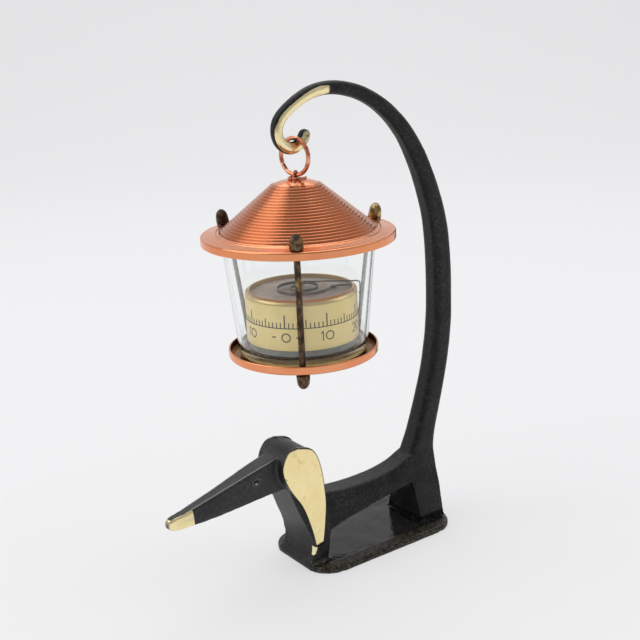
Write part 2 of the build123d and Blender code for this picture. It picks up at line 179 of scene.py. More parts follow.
def round_profile(corners, radius, count=4):
    """Rounds every corner of a closed profile of (radius, z) corners, leaving points on the axis sharp."""
    rounded = []
    total = len(corners)
    for i, corner in enumerate(corners):
        here = Vector(corner)
        before = Vector(corners[i - 1]) - here
        after = Vector(corners[(i + 1) % total]) - here
        if corner[0] < 1e-6:
            rounded.append(tuple(corner))
            continue
        cut = min(radius, before.length * 0.45, after.length * 0.45)
        start = here + before.normalized() * cut
        end = here + after.normalized() * cut
        for k in range(count + 1):
            t = k / count
            point = start * (1 - t) ** 2 + here * 2 * t * (1 - t) + end * t ** 2
            rounded.append((point.x, point.y))
    return rounded


def tube_mesh(name, path, radii, sides=16, closed=False):
    """A round wire along a path of points in millimetres, with domed ends when open."""
    points = [Vector(p) for p in path]
    count = len(points)
    tangents = []
    for i in range(count):
        ahead = points[(i + 1) % count] if closed or i + 1 < count else points[i]
        behind = points[i - 1] if closed or i > 0 else points[i]
        tangents.append((ahead - behind).normalized())
    side = tangents[0].orthogonal().normalized()
    verts = []
    rings = []
    for i in range(count):
        side = (side - tangents[i] * side.dot(tangents[i])).normalized()
        up = tangents[i].cross(side)
        rings.append(range(len(verts), len(verts) + sides))
        for angle in round_angles(sides):
            verts.append(points[i] + (side * math.cos(angle) + up * math.sin(angle)) * radii[i])
    faces = []
    spans = list(zip(rings[:-1], rings[1:]))
    if closed:
        spans.append((rings[-1], rings[0]))
    for first, second in spans:
        faces += quads(first, second)
    if not closed:
        faces.append(tuple(reversed(rings[0])))
        faces.append(tuple(rings[-1]))
    return mesh_from(name, verts, faces)


def catmull(points, per_span=8):
    """A smooth curve through points, as a list of points."""
    vectors = [Vector(p) for p in points]
    ends = [vectors[0] * 2 - vectors[1], *vectors, vectors[-1] * 2 - vectors[-2]]
    curve = []
    for i in range(1, len(ends) - 2):
        a, b, c, d = ends[i - 1 : i + 3]
        for k in range(per_span):
            t = k / per_span
            square = (2 * a - 5 * b + 4 * c - d) * t ** 2
            cube = (3 * b - a - 3 * c + d) * t ** 3
            curve.append(0.5 * (2 * b + (c - a) * t + square + cube))
    curve.append(vectors[-1])
    return curve


# ---------- material helpers


def material(name):
    made = bpy.data.materials.new(name)
    made.use_nodes = True
    return made, made.node_tree, made.node_tree.nodes["Principled BSDF"]


def add_node(tree, kind, **values):
    node = tree.nodes.new(kind)
    for key, value in values.items():
        if hasattr(node, key):
            setattr(node, key, value)
        else:
            node.inputs[key.replace("_", " ")].default_value = value
    return node


def object_noise(tree, scale, detail=4.0, roughness=0.6, stretch=(1, 1, 1)):
    """Noise in object space. Scale is in features per metre."""
    place = add_node(tree, "ShaderNodeTexCoord")
    mapping = add_node(tree, "ShaderNodeMapping")
    mapping.inputs["Scale"].default_value = stretch
    tree.links.new(place.outputs["Object"], mapping.inputs["Vector"])
    texture = add_node(tree, "ShaderNodeTexNoise", Scale=scale, Detail=detail, Roughness=roughness)
    tree.links.new(mapping.outputs["Vector"], texture.inputs["Vector"])
    return texture.outputs["Fac"]


def ramp(tree, value, stops):
    """Colour ramp: stops are (position, colour)."""
    node = add_node(tree, "ShaderNodeValToRGB")
    while len(node.color_ramp.elements) < len(stops):
        node.color_ramp.elements.new(0.5)
    for element, (position, colour) in zip(node.color_ramp.elements, stops):
        element.position = position
        element.color = (*colour, 1) if len(colour) == 3 else colour
    tree.links.new(value, node.inputs["Fac"])
    return node.outputs["Color"]


def grey_ramp(tree, value, low_at, low, high_at, high):
    return ramp(tree, value, [(low_at, (low,) * 3), (high_at, (high,) * 3)])


def feed(tree, node, place, value):
    """Gives an input a number, a colour or the output of another node."""
    if isinstance(value, tuple):
        node.inputs[place].default_value = (*value, 1)
    elif isinstance(value, (int, float)):
        node.inputs[place].default_value = value
    else:
        tree.links.new(value, node.inputs[place])


def mix_colour(tree, factor, first, second):
    node = add_node(tree, "ShaderNodeMix", data_type="RGBA")
    for place, value in (("Factor", factor), ("A", first), ("B", second)):
        feed(tree, node, place, value)
    return node.outputs["Result"]


def math_node(tree, operation, first, second, clamp=False):
    node = add_node(tree, "ShaderNodeMath", operation=operation, use_clamp=clamp)
    feed(tree, node, 0, first)
    feed(tree, node, 1, second)
    return node.outputs[0]


def plus(tree, first, second):
    return math_node(tree, "ADD", first, second)


def minus(tree, first, second, clamp=False):
    return math_node(tree, "SUBTRACT", first, second, clamp)


def times(tree, first, second):
    return math_node(tree, "MULTIPLY", first, second)


def larger(tree, first, second):
    return math_node(tree, "MAXIMUM", first, second)


def dress(tree, shader, colour, metallic, roughness):
    """Feeds a shader's three main inputs."""
    feed(tree, shader, "Base Color", colour)
    feed(tree, shader, "Metallic", metallic)
    feed(tree, shader, "Roughness", roughness)


def bump(tree, shader, height, strength, distance):
    node = add_node(tree, "ShaderNodeBump", Strength=strength, Distance=distance)
    feed(tree, node, "Height", height)
    feed(tree, shader, "Normal", node.outputs["Normal"])


# ---------- materials


def attribute(tree, name):
    node = tree.nodes.new("ShaderNodeAttribute")
    node.attribute_name = name
    return node.outputs["Fac"]


def copper_material():
    """Polished copper sheet. Attribute "inside" browns the hidden side of a dish, "groove" darkens a fold
    with painted shade.
    """
    made, tree, shader = material("copper_sheet")
    patches = object_noise(tree, 45, 5.0, 0.6)
    smears = object_noise(tree, 260, 4.0, 0.6, (1, 1, 3))
    polished = [(0.3, (0.76, 0.26, 0.11)), (0.55, (0.83, 0.32, 0.15)), (0.8, (0.87, 0.39, 0.21))]
    bright = ramp(tree, patches, polished)
    brown = ramp(tree, smears, [(0.35, (0.16, 0.052, 0.02)), (0.65, (0.40, 0.20, 0.06))])
    inside = attribute(tree, "inside")
    # Painted shade: darkens the folds of the ribbed cone.
    fold_shaded = mix_colour(tree, attribute(tree, "fold_shade"), bright, (0.30, 0.055, 0.015))
    rough = plus(tree, grey_ramp(tree, smears, 0.35, 0.19, 0.75, 0.29), times(tree, inside, 0.1))
    dress(tree, shader, mix_colour(tree, inside, fold_shaded, brown), 1.0, rough)
    bump(tree, shader, smears, 0.08, 0.00006)
    return made


def copper_wire_material():
    made, tree, shader = material("copper_wire")
    patches = object_noise(tree, 400)
    stops = [(0.32, (0.30, 0.085, 0.045)), (0.50, (0.68, 0.27, 0.15)), (0.7, (0.85, 0.45, 0.28))]
    dress(tree, shader, ramp(tree, patches, stops), 1.0, grey_ramp(tree, patches, 0.3, 0.38, 0.7, 0.2))
    bump(tree, shader, patches, 0.1, 0.00005)
    return made


def dark_brass_material():
    """Worn bronze-brown brass. The attribute "tone" runs from nearly black to brassy."""
    made, tree, shader = material("dark_brass")
    patches = object_noise(tree, 420, 5.0, 0.7)
    fine = object_noise(tree, 2600, 2.0, 0.6)
    shift = times(tree, minus(tree, attribute(tree, "tone"), 0.5), 0.34)
    worn = plus(tree, patches, shift)
    stops = [(0.30, (0.030, 0.016, 0.012)), (0.46, (0.10, 0.062, 0.036))]
    stops += [(0.60, (0.26, 0.18, 0.085)), (0.74, (0.66, 0.48, 0.20))]
    dress(tree, shader, ramp(tree, worn, stops), 0.9, grey_ramp(tree, worn, 0.3, 0.55, 0.75, 0.27))
    bump(tree, shader, fine, 0.35, 0.00008)
    return made


def gilt_material(name, low, high, rough_low, rough_high):
    """Satin gold lacquer with a fine grain."""
    made, tree, shader = material(name)
    patches = object_noise(tree, 110)
    grain = object_noise(tree, 3000, 2.0, 0.6, (1, 1, 0.3))
    colour = ramp(tree, patches, [(0.3, low), (0.7, high)])
    dress(tree, shader, colour, 0.85, grey_ramp(tree, patches, 0.3, rough_low, 0.7, rough_high))
    bump(tree, shader, grain, 0.15, 0.00003)
    return made


def worked_material(name, colour, roughness, metallic, scale=300):
    """Any plain worked surface: the colour and gloss drift, with a fine grain."""
    made, tree, shader = material(name)
    patches = object_noise(tree, scale)
    dark = tuple(c * 0.72 for c in colour)
    light = tuple(min(1.0, c * 1.18) for c in colour)
    rough = grey_ramp(tree, patches, 0.3, roughness - 0.08, 0.7, roughness + 0.08)
    dress(tree, shader, ramp(tree, patches, [(0.3, dark), (0.7, light)]), metallic, rough)
    bump(tree, shader, object_noise(tree, scale * 8, 2.0), 0.2, 0.00004)
    return made


def glass_material():
    """Clear glass. Diffuse and shadow rays pass straight through, so what stands inside is lit.

    The attribute "haze" roughens the floor and "amber" tints the foot with a painted gold-brown reflection.
    """
    made, tree, shader = material("clear_glass")
    # Painted reflection: the foot's gold-brown tint.
    tint = mix_colour(tree, attribute(tree, "painted_foot_reflection"), (0.975, 0.992, 0.985), (0.62, 0.42, 0.14))
    feed(tree, shader, "Base Color", tint)
    specks = grey_ramp(tree, object_noise(tree, 700, 3.0, 0.6), 0.3, 0.10, 0.7, 0.20)
    feed(tree, shader, "Roughness", times(tree, attribute(tree, "haze"), specks))
    feed(tree, shader, "IOR", 1.45)
    feed(tree, shader, "Transmission Weight", 1.0)
    path = tree.nodes.new("ShaderNodeLightPath")
    through = larger(tree, path.outputs["Is Shadow Ray"], path.outputs["Is Diffuse Ray"])
    clear = tree.nodes.new("ShaderNodeBsdfTransparent")
    feed(tree, clear, "Color", (0.95, 0.97, 0.96))
    choose = tree.nodes.new("ShaderNodeMixShader")
    for place, source in enumerate((through, shader.outputs[0], clear.outputs[0])):
        feed(tree, choose, place, source)
    feed(tree, tree.nodes["Material Output"], "Surface", choose.outputs[0])
    return made


def patina_material():
    """Black patina on cast brass.

    The attribute "polish" bares the brass; on the eye's ball it paints a highlight. "wear" thins the patina
    and "dust" greys an edge, on the snout's ridge as a painted highlight. "gloss" and "satin" make the patina
    shine, strongly or softly, and
    "crease" takes its shine away.
    """
    made, tree, shader = material("black_patina")
    cast = object_noise(tree, 900, 5.0, 0.75)
    clouds = object_noise(tree, 130, 5.0, 0.65)
    grains = object_noise(tree, 1500, 3.0, 0.6)
    polish_and_highlight = attribute(tree, "polish_and_highlight")
    wear = attribute(tree, "wear")
    gloss = attribute(tree, "gloss")
    black = ramp(tree, clouds, [(0.3, (0.003, 0.003, 0.0035)), (0.7, (0.009, 0.009, 0.0095))])
    spots = grey_ramp(tree, cast, 0.46, 0.0, 0.66, 0.42)
    mottle = times(tree, spots, grey_ramp(tree, clouds, 0.38, 0.35, 0.6, 1.0))
    dust_and_highlight_colour = mix_colour(tree, mottle, black, (0.082, 0.081, 0.076))
    # Greys an edge: on the snout's ridge this is a painted highlight, the light line that the ridge reflects.
    dust_and_highlight_colour = mix_colour(tree, attribute(tree, "dust_and_highlight"), dust_and_highlight_colour, (0.30, 0.30, 0.29))
    rubbed = grey_ramp(tree, plus(tree, cast, times(tree, wear, 0.20)), 0.64, 0.0, 0.78, 0.85)
    rubbed = times(tree, rubbed, math_node(tree, "MINIMUM", times(tree, wear, 3.0), 1.0))
    olive = ramp(tree, grains, [(0.4, (0.030, 0.025, 0.010)), (0.65, (0.17, 0.14, 0.07))])
    colour = mix_colour(tree, rubbed, dust_and_highlight_colour, olive)
    wobble = times(tree, minus(tree, cast, 0.5), 0.5)
    bare = grey_ramp(tree, plus(tree, polish_and_highlight, wobble), 0.42, 0.0, 0.56, 1.0)
    brass = ramp(tree, clouds, [(0.3, (0.92, 0.76, 0.38)), (0.7, (1.0, 0.89, 0.57))])
    sheen = times(tree, larger(tree, gloss, bare), 0.14)
    sheen = larger(tree, sheen, times(tree, attribute(tree, "satin"), 0.30))
    level = minus(tree, plus(tree, 0.24, sheen), attribute(tree, "crease"), True)
    feed(tree, shader, "Specular IOR Level", level)
    lacquer = mix_colour(tree, gloss, grey_ramp(tree, cast, 0.3, 0.30, 0.7, 0.46), (0.13, 0.13, 0.13))
    rough = mix_colour(tree, bare, lacquer, (0.24, 0.24, 0.24))
    dress(tree, shader, mix_colour(tree, bare, colour, brass), bare, rough)
    matt = minus(tree, 1.0, larger(tree, bare, times(tree, gloss, 0.85)))
    bump(tree, shader, times(tree, cast, matt), 0.7, 0.0002)
    return made


def polished_brass_material():
    """Ground and polished brass of the ears, with a few casting pits and a dark rim."""
    made, tree, shader = material("polished_brass")
    clouds = object_noise(tree, 90)
    scratches = object_noise(tree, 700, 4.0, 0.7, (1, 1, 0.15))
    pits = grey_ramp(tree, object_noise(tree, 330, 3.0, 0.75), 0.695, 0.0, 0.71, 1.0)
    stain = grey_ramp(tree, object_noise(tree, 150, 5.0, 0.7), 0.60, 0.0, 0.72, 0.55)
    colour = ramp(tree, clouds, [(0.3, (0.93, 0.76, 0.37)), (0.7, (0.99, 0.86, 0.49))])
    colour = mix_colour(tree, stain, colour, (0.55, 0.42, 0.16))
    colour = mix_colour(tree, pits, colour, (0.03, 0.025, 0.015))
    wobble = times(tree, minus(tree, scratches, 0.5), 0.3)
    bare = grey_ramp(tree, plus(tree, attribute(tree, "polish_and_highlight"), wobble), 0.44, 0.0, 0.56, 1.0)
    rough = grey_ramp(tree, scratches, 0.35, 0.24, 0.7, 0.36)
    dress(tree, shader, mix_colour(tree, bare, (0.016, 0.014, 0.010), colour), bare, rough)
    bump(tree, shader, minus(tree, scratches, pits), 0.1, 0.00008)
    return made


def ink_material():
    made, tree, shader = material("scale_ink")
    fade = object_noise(tree, 1500, 3.0, 0.6)
    colour = ramp(tree, fade, [(0.3, (0.020, 0.016, 0.010)), (0.8, (0.07, 0.055, 0.03))])
    feed(tree, shader, "Base Color", colour)
    feed(tree, shader, "Roughness", 0.6)
    return made


COPPER = copper_material()
COPPER_WIRE = copper_wire_material()
DARK_BRASS = dark_brass_material()
GILT = gilt_material("gilt_case", (0.60, 0.46, 0.20), (0.74, 0.59, 0.29), 0.26, 0.38)
BAND = gilt_material("scale_foil", (0.78, 0.60, 0.25), (0.88, 0.71, 0.34), 0.34, 0.46)
# Painted light: the plate is paler than silver grey and tinted green-blue, offsetting the roof's shade and
# the brown light bounced from the copper.
SILVER_WITH_PAINTED_LIGHT = worked_material("silvered_plate", (0.80, 0.94, 0.86), 0.55, 0.1, 120)
GREY = worked_material("grey_foot", (0.30, 0.30, 0.27), 0.55, 0.0)
STRIP = worked_material("coil_strip", (0.24, 0.23, 0.21), 0.26, 0.9)
HAND_WIRE = worked_material("hand_wire", (0.13, 0.12, 0.11), 0.34, 0.8)
BRASS = worked_material("bearing_brass", (0.78, 0.62, 0.30), 0.22, 1.0)
GLASS = glass_material()
PATINA = patina_material()
POLISHED = polished_brass_material()
INK = ink_material()


# ---------- stand


def applied(obj):
    """The mesh of an object with its modifiers applied."""
    bpy.context.view_layer.update()
    return bpy.data.meshes.new_from_object(obj.evaluated_get(bpy.context.evaluated_depsgraph_get()))


def cast_skin():
    """The stand's CAD solid with its joins softened, as a sand casting has them."""
    draft = placed("draft", NODES["dog_stand"].data.copy())
    skin = draft.modifiers.new("skin", "REMESH")
    skin.mode = "VOXEL"
    skin.voxel_size = 0.00045
    soften = draft.modifiers.new("soften", "SMOOTH")
    soften.factor = 0.5
    soften.iterations = 5
    mesh = applied(draft)
    bpy.data.objects.remove(draft)
    return mesh


def mesh_places(mesh):
    """Vertex places in millimetres and vertex normals, as arrays."""
    places = np.zeros(len(mesh.vertices) * 3)
    mesh.vertices.foreach_get("co", places)
    normals = np.zeros(len(mesh.vertices) * 3)
    mesh.vertices.foreach_get("normal", normals)
    return places.reshape(-1, 3) / MM, normals.reshape(-1, 3)


def from_axis(places):
    """How far each place is from the lantern's axis."""
    return np.hypot(places[:, 0] - AXIS_X, places[:, 1])


def paint(mesh, name, values):
    """Stores a number per vertex, or the same for all, for the material to read."""
    layer = mesh.attributes.new(name, "FLOAT", "POINT")
    layer.data.foreach_set("value", np.full(len(mesh.vertices), values, dtype=np.float32))


def soft_step(values, start, end):
    share = np.clip((values - start) / (end - start), 0, 1)
    return share * share * (3 - 2 * share)


def casting_grain(places, normals):
    """Skin of a sand casting: slow waves and a fine grain, both under a tenth of a millimetre."""
    lift = np.empty(len(places))
    for i, place in enumerate(places):
        wave = noise.noise(Vector(place) * 0.16)
        grain = noise.noise(Vector(place) * 0.9)
        lift[i] = 0.07 * wave + 0.035 * grain
    return places + normals * lift[:, None]


HOOK_FROM_Z = 145.0
HOOK_BARE_FROM_X = -6.0
HOOK_FACET_Y = -2.4
HOOK_MIDDLE = (-19.5, 164.0)
HEAD_BELOW_Z = 60.0
NOSE_BARE_FROM_X = -75.2
PLATE_TOP_Z = 2.4


def hook_marks(x, z, normals):
    """How far the hook is ground flat at each vertex, and how bare its near face is."""
    on_hook = (z > HOOK_FROM_Z) & (x < HOOK_BARE_FROM_X + 8)
    ground = soft_step(-x, -HOOK_BARE_FROM_X, -HOOK_BARE_FROM_X + 9) * on_hook
    reach = np.hypot(x - HOOK_MIDDLE[0], z - HOOK_MIDDLE[1])
    outward = (normals[:, 0] * (x - HOOK_MIDDLE[0]) + normals[:, 2] * (z - HOOK_MIDDLE[1])) / reach
    black_back = soft_step(outward, 0.1, 0.6) * soft_step(z, 156, 166)
    bare = ground * soft_step(-normals[:, 1], 0.35, 0.75) * (1 - black_back)
    tip = (x > -22.4) & (z < HOOK_MIDDLE[1])
    return ground, bare * (1 - 0.5 * tip)


def wear_marks(x, y, z, worn_tip):
    """How thin the patina is at each vertex: the plate's rim, the front foot, the belly and the nose."""
    side = np.abs(y)
    rim = (z < PLATE_TOP_Z + 0.4) * soft_step(side, 12.6, 13.8)
    foot = soft_step(7.5 - z, 0, 5) * (x < -26) * (y < -7)
    belly_line = 13.2 + (x + 24.4) * 0.125
    belly = (np.abs(z - belly_line) < 1.3) * (x > -25) * (x < 20)
    return np.clip(rim * 0.85 + foot * 0.7 + belly * 0.3 + worn_tip * 1.8, 0, 1)


def shine_marks(x, y, z, normals):
    """Where the patina is glossy (plate, hind legs), satin (head) and dull (where feet and plate join)."""
    side = np.abs(y)
    under_belly = (np.abs(z - PLATE_TOP_Z) < 0.5) & (normals[:, 2] > 0.8) & (side < 13.2)
    leg_front = (normals[:, 0] < -0.3) & (x > 12) & (z < 26) & (side < 12)
    crease = soft_step(PLATE_TOP_Z + 2.2 - z, 0, 1) * (normals[:, 2] < 0.9) * (side < 12.6) * (x > -20)
    return under_belly | leg_front, soft_step(-x, 36, 42) * (z < HEAD_BELOW_Z), crease


def dog_casting():
    """The stand's skin with its grain, its ground hook and the marks for its material."""
    mesh = cast_skin()
    places, normals = mesh_places(mesh)
    x, y, z = places.T
    ground, bare_hook = hook_marks(x, z, normals)
    places = casting_grain(places, normals)
    over = (y < HOOK_FACET_Y) & (ground > 0)
    places[over, 1] += (HOOK_FACET_Y - y[over]) * ground[over]
    sideways = soft_step(np.abs(normals[:, 1]), 0.40, 0.65)
    forward = soft_step(-normals[:, 0], 0.4, 0.6)
    bare_nose = soft_step(-x, -NOSE_BARE_FROM_X - 0.5, -NOSE_BARE_FROM_X + 0.5)
    bare_nose *= np.maximum(sideways, forward) * (z < HEAD_BELOW_Z)
    worn_tip = soft_step(-x, 83.0, 84.2) * (z < HEAD_BELOW_Z) * 0.54
    toe_chip = (x > -31.5) & (z < 9.0) & (y < -8) & (z - 4.4 > (x + 31.4) * 2.0)
    gloss, satin, crease = shine_marks(x, y, z, normals)
    mesh.vertices.foreach_set("co", (places * MM).ravel())
    paint(mesh, "polish_and_highlight", np.maximum(np.maximum(bare_hook, bare_nose - worn_tip), toe_chip * 0.9))
    paint(mesh, "wear", wear_marks(x, y, z, worn_tip))
    paint(mesh, "gloss", gloss)
    paint(mesh, "crease", crease)
    paint(mesh, "satin", satin)
    mesh.shade_smooth()
    link("dog_casting", mesh, "stand", PATINA, "dog_stand")
    corners = [v.co / MM for v in mesh.vertices]
    return BVHTree.FromPolygons(corners, [tuple(f.vertices) for f in mesh.polygons])


def resample(curve, count, ease):
    """Points spread along a curve, closer together at the eased ends."""
    lengths = [0.0]
    for a, b in zip(curve[:-1], curve[1:]):
        lengths.append(lengths[-1] + (b - a).length)
    spread = []
    for i in range(count + 1):
        want = ease(i / count) * lengths[-1]
        k = max(j for j in range(len(lengths) - 1) if lengths[j] <= want)
        share = (want - lengths[k]) / (lengths[k + 1] - lengths[k])
        spread.append(curve[k].lerp(curve[k + 1], min(1.0, share)))
    return spread


def ear_plate(name, side):
    """Polished ear: a teardrop plate with a rounded black rim and a slightly domed brass face."""
    top = Vector((-34.4, 48.55))
    front = [(-30.2, 9.2), (-31.4, 16.0), (-34.3, 25.6), (-39.5, 34.6), (-41.5, 41.8), (-38.8, 47.4)]
    rear = [(-26.8, 9.8), (-25.0, 18.5), (-24.05, 27.0), (-25.0, 39.0), (-28.0, 46.2)]
    rows = 72
    columns = 26
    fronts = resample(catmull([Vector(p) for p in front] + [top]), rows, lambda t: math.sin(t * math.pi / 2))
    rears = resample(catmull([Vector(p) for p in rear] + [top]), rows, lambda t: math.sin(t * math.pi / 2))
    foot = [fronts[0].lerp(rears[0], k / 12) for k in range(13)]
    rim = np.array([tuple(p) for p in fronts + rears[::-1] + foot])
    head_z = 48.2
    head_out = 7.8
    lean = 3.6 / head_z
    edge_r = 0.35
    sunk = 0.32
    thick = 1.0
    verts = []
    polish_and_highlight = []
    for i in range(rows + 1):
        for k in range(columns + 1):
            across = 0.5 - 0.5 * math.cos(math.pi * k / columns)
            spot = fronts[i].lerp(rears[i], across)
            depth = float(np.min(np.hypot(rim[:, 0] - spot.x, rim[:, 1] - spot.y)))
            turn = min(1.0, depth / edge_r)
            lift = edge_r * math.sqrt(1 - (1 - turn) ** 2) + 0.16 * (1 - math.exp(-depth / 2.5))
            plane = head_out + lean * (head_z - spot.y)
            verts.append((spot.x, side * (plane - sunk + lift), spot.y))
            dark_width = 0.18 + 0.30 * across
            polish_and_highlight.append(float(soft_step(np.array(depth), dark_width - 0.2, dark_width + 0.2)))
    faces = []
    span = columns + 1
    for i in range(rows):
        for k in range(columns):
            a = i * span + k
            faces.append((a, a + 1, a + span + 1, a + span))
    border = list(range(span)) + [i * span + columns for i in range(1, rows)]
    border += [rows * span + k for k in range(columns, -1, -1)] + [i * span for i in range(rows - 1, 0, -1)]
    start = len(verts)
    for index in border:
        vert = verts[index]
        verts.append((vert[0], vert[1] - side * thick, vert[2]))
        polish_and_highlight.append(0.0)
    faces += quads(border, range(start, len(verts)))
    mesh = mesh_from(name, verts, faces)
    paint(mesh, "polish_and_highlight", polish_and_highlight)
    link(name, mesh, "stand", POLISHED)


def surface_y(casting, x, z, side):
    """How far out the casting's flank is at a place, looking in from one side."""
    return casting.ray_cast(Vector((x, side * 30, z)), Vector((0, -side, 0)))[0].y


def eye(name, casting, side):
    """Engraved eye: a raised almond lid line round a low ball, its lower part bare brass as a painted
    highlight.
    """
    middle = (-50.1, 38.6)
    tilt = math.radians(18)
    half_length = 1.75
    half_height = 1.15
    lid_wire_r = 0.17
    lid = []
    for angle in round_angles(40):
        along = half_length * math.cos(angle)
        up = half_height * math.sin(angle) * (1 - 0.25 * abs(math.cos(angle)) ** 3)
        x = middle[0] + along * math.cos(tilt) - up * math.sin(tilt)
        z = middle[1] + along * math.sin(tilt) + up * math.cos(tilt)
        lid.append((x, surface_y(casting, x, z, side) + side * 0.02, z))
    line = tube_mesh(name + "_lid", lid, [lid_wire_r] * len(lid), 10, True)
    paint(line, "dust_and_highlight", 0.35)
    link(name + "_lid", line, "stand", PATINA)
    verts = []
    ball_r = 0.85
    ball_rise = 0.42
    sunk = 0.12
    rings = 9
    steps = 28
    base = surface_y(casting, middle[0], middle[1], side)
    for i in range(rings):
        reach = ball_r * math.sin(math.pi / 2 * (i + 1) / rings)
        rise = ball_rise * math.cos(math.pi / 2 * (i + 1) / rings)
        for angle in round_angles(steps):
            x = middle[0] + reach * math.cos(angle)
            z = middle[1] + reach * math.sin(angle)
            verts.append((x, base + side * (rise - sunk), z))
    faces = [tuple(range(steps))]
    for start in range(0, (rings - 1) * steps, steps):
        faces += quads(range(start, start + steps), range(start + steps, start + 2 * steps))
    ball = mesh_from(name + "_ball", verts, faces)
    # Painted highlight: the ball's lower part is made bare brass.
    paint(ball, "polish_and_highlight", [v[2] < middle[1] - 0.28 for v in verts])
    link(name + "_ball", ball, "stand", PATINA)


def snout_ridge(name, casting, side):
    """Rubbed bead along the top edge of the snout, from the nose up to the brow, greyed as a painted
    highlight.
    """
    path = []
    last = 59
    for i in range(last + 1):
        share = i / last
        x = -77.5 + share * 37.0
        half = 1.85 + 1.65 * share
        top = 35.2 + 10.2 * share
        start = Vector((x, side * (half + 6), top + 6))
        hit = casting.ray_cast(start, Vector((0, -side, -1)).normalized())[0]
        path.append(hit + Vector((0, -side * 0.06, -0.06)))
    radii = [0.30 * min(1.0, 0.3 + i / 8, 0.3 + (last - i) / 8) for i in range(last + 1)]
    mesh = tube_mesh(name, path, radii, 10)
    # Painted highlight: the bead is greyed to stand for the light line along the ridge.
    paint(mesh, "dust_and_highlight", 0.75)
    link(name, mesh, "stand", PATINA)


casting_tree = dog_casting()
for label, flank in (("near", -1), ("far", 1)):
    ear_plate("ear_" + label, flank)
    eye("eye_" + label, casting_tree, flank)
    snout_ridge("snout_ridge_" + label, casting_tree, flank)


# ---------- suspension


def ring_directions():
    """Level direction along the ring, and the direction its axis points."""
    normal = Vector(JOINTS["ring_swing"]["axis"])
    level = normal.cross(Vector((0, 0, 1)))
    return -level, normal


def ring_wire():
    """Split wire ring."""
    low, high = mm_box("hanging_ring")
    wire_r = 0.75
    mean_r = (high.z - low.z) / 2 - wire_r
    middle = Vector((AXIS_X, 0, (low.z + high.z) / 2))
    level = ring_directions()[0]
    count = 120
    turn = arc((0, 0), mean_r, 206, 564, count)
    path = [middle + level * along + Vector((0, 0, up)) for along, up in turn]
    radii = [wire_r * (1 - 0.02 * math.sin(i * 0.9)) for i in range(count + 1)]
    radii[0] = radii[-1] = wire_r * 0.86
    mesh = tube_mesh("ring_wire", path, radii, 20)
    link("ring_wire", mesh, "ring", COPPER_WIRE, "hanging_ring")
    return low.z + wire_r


def eye_wire(foot_z):
    """Wire eye: one turn over the ring, its tails wound round its foot and laid on the roof."""
    level, normal = ring_directions()
    origin = Vector((AXIS_X, 0, foot_z))
    dome = ROOF_HIGH.z - foot_z
    loop_r = 1.27
    wire_r = 0.40

    def place(n, t, z):
        return origin + normal * n + level * t + Vector((0, 0, z))

    path = [place(-3.6, 1.6, dome + 0.15), place(-2.4, 2.1, dome + 0.28), place(-0.9, 2.3, dome + 0.36)]
    path += [place(0.7, 2.0, dome + 0.39), place(1.6, 0.9, dome + 0.42), place(1.5, 0.1, dome + 0.55)]
    for n, z in arc((0, 0.02), loop_r, -35, 215, 8):
        path.append(place(n, n * 0.28 / loop_r, z))
    path += [place(-1.35, -0.9, dome + 0.50), place(-0.8, -1.95, dome + 0.40), place(0.4, -2.3, dome + 0.37)]
    path += [place(1.7, -1.75, dome + 0.36), place(2.45, -0.6, dome + 0.36), place(2.75, 0.6, dome + 0.34)]
    curve = catmull(path, 10)
    mesh = tube_mesh("eye_wire", curve, [wire_r] * len(curve), 14)
    link("eye_wire", mesh, "eye", COPPER_WIRE, "roof_eye")


eye_wire(ring_wire())


# ---------- lantern shell


def roof_shell():
    """Spun roof: dome, ribbed cone, flange with two shallow rings, rolled rim."""
    sheet = 0.7
    radius = (ROOF_HIGH.x - ROOF_LOW.x) / 2
    apex = ROOF_HIGH.z
    edge_z = ROOF_LOW.z + 2.8
    foot = Vector((radius * 0.791, edge_z + 1.0))
    top = Vector((radius * 0.244, apex - 1.7))
    ribs = 19
    points = [(1.0, apex)]
    points += [(top.x * run, apex - drop) for run, drop in ((0.35, 0.12), (0.7, 0.62), (0.9, 1.25))]
    slope = foot - top
    normal = Vector((-slope.y, slope.x)).normalized()
    per_rib = 8
    for i in range(ribs):
        for k in range(per_rib):
            share = k / per_rib
            point = top + slope * ((i + share) / ribs) + normal * (0.40 * math.sin(math.pi * share) ** 0.7)
            points.append((point.x, point.y))
    points += [(foot.x, foot.y - 0.12), (foot.x + 0.12, foot.y - 0.14)]
    fall = (foot.y - edge_z) / (radius - foot.x)
    for i in range(2):
        for k in range(1, 7):
            run = 0.15 + (i + k / 6) * 1.3
            points.append((foot.x + run, foot.y - fall * run + 0.16 * math.sin(math.pi * k / 6)))
    points += [(radius - 1.4, edge_z + 0.1), (radius - 0.75, edge_z + 0.12)]
    points += arc((radius - 0.6, edge_z - 0.5), 0.6, 80, 0, 5)
    points += arc((radius - 0.35, ROOF_LOW.z + 0.35), 0.35, 0, -180, 6)
    points += [(radius - sheet, edge_z - sheet - 0.3), (radius - sheet - 0.3, edge_z - sheet)]
    points += [(foot.x - 0.2, foot.y - sheet - 0.1), (top.x - 0.4, top.y - sheet - 0.2)]
    points += [(top.x * 0.5, apex - sheet - 0.4), (1.0, apex - sheet)]
    mesh = lathe_mesh("roof_shell", points, 200, True)
    places = mesh_places(mesh)[0]
    reach = from_axis(places)
    share = (reach - top.x) / (foot.x - top.x) * ribs
    above = places[:, 2] - (top.y + (reach - top.x) / slope.x * slope.y)
    # Painted shade: the whole ribbed cone is darkened, most in the valleys between its ribs.
    painted_fold_shade = 0.48 + 0.52 * np.clip(1 - above / 0.18, 0, 1)
    on_cone = (share > -0.2) & (share < ribs + 0.4) & (above > -0.3)
    paint(mesh, "fold_shade", painted_fold_shade * on_cone)
    link("roof_shell", mesh, "lantern", COPPER, "roof")


